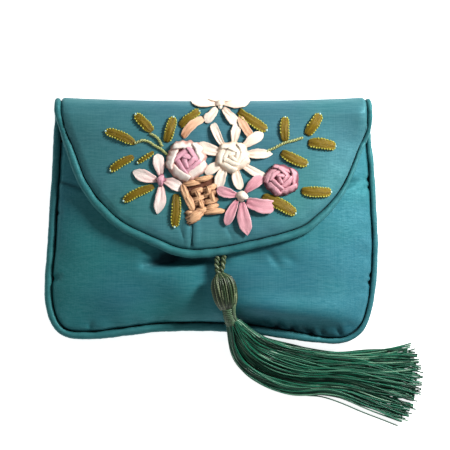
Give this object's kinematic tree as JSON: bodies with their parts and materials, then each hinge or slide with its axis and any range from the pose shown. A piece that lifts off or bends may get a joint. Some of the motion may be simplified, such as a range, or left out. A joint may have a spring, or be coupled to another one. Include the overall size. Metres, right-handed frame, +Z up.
{
  "type": "chinese embroidered purse",
  "caption": "Small padded satin purse lying flat with its curved flap closed, ribbon flowers and leaves on the flap, covered piping and a long silk tassel at the tip.",
  "frame": {"origin": "on the surface under the purse, at the middle of the body, on the flat underside of the back", "axes": "+X across the purse towards the tassel's ends, +Y from the tassel to the fold, +Z up out of the flap's face"},
  "size_m": [0.1338, 0.1194, 0.02],
  "materials": {
    "satin": "teal shot satin with fine slubs across, padded",
    "piping": "the same satin over cord",
    "leaf_ribbon": "olive silk ribbon with a beaded stitch at its edges",
    "cream_ribbon": "cream silk ribbon, matt sheen",
    "pink_ribbon": "dusty pink silk ribbon, matt sheen",
    "peach_ribbon": "peach silk ribbon",
    "tan_ribbon": "tan silk ribbon, matt sheen",
    "stem_thread": "light green twisted thread",
    "tassel_thread": "dark green lustrous thread",
    "stud_metal": "plain nickel-plated steel"
  },
  "bodies": {
    "root": {"back_and_flap": "satin", "front_pocket": "satin", "body_piping": "piping", "flap_piping": "piping", "closure_stud": "stud_metal", "tassel_hanger": "tassel_thread", "tassel_head_and_skirt": "tassel_thread", "tassel_neck_wrap": "tassel_thread", "leaf_1": "leaf_ribbon", "leaf_2": "leaf_ribbon", "leaf_3": "leaf_ribbon", "leaf_4": "leaf_ribbon", "leaf_5": "leaf_ribbon", "leaf_6": "leaf_ribbon", "leaf_7": "leaf_ribbon", "leaf_8": "leaf_ribbon", "leaf_9": "leaf_ribbon", "leaf_10": "leaf_ribbon", "leaf_11": "leaf_ribbon", "leaf_12": "leaf_ribbon", "leaf_13": "leaf_ribbon", "leaf_14": "leaf_ribbon", "leaf_15": "leaf_ribbon", "stem_left": "stem_thread", "stem_left_branch": "stem_thread", "stem_right": "stem_thread", "peach_ribbon_left": "peach_ribbon", "peach_ribbon_right": "peach_ribbon", "top_flower_petals": "cream_ribbon", "daisy_petals": "cream_ribbon", "daisy_rosette": "cream_ribbon", "left_flower_petals": "cream_ribbon", "white_rose_wraps": "cream_ribbon", "pink_flower_knot": "cream_ribbon", "top_flower_knot": "pink_ribbon", "left_flower_knot": "pink_ribbon", "pink_flower_petals": "pink_ribbon", "white_rose_heart": "pink_ribbon", "pink_rose_wraps": "pink_ribbon", "pink_rose_heart": "pink_ribbon", "basket_frame": "tan_ribbon", "basket_weave": "tan_ribbon"}
  },
  "joints": []
}
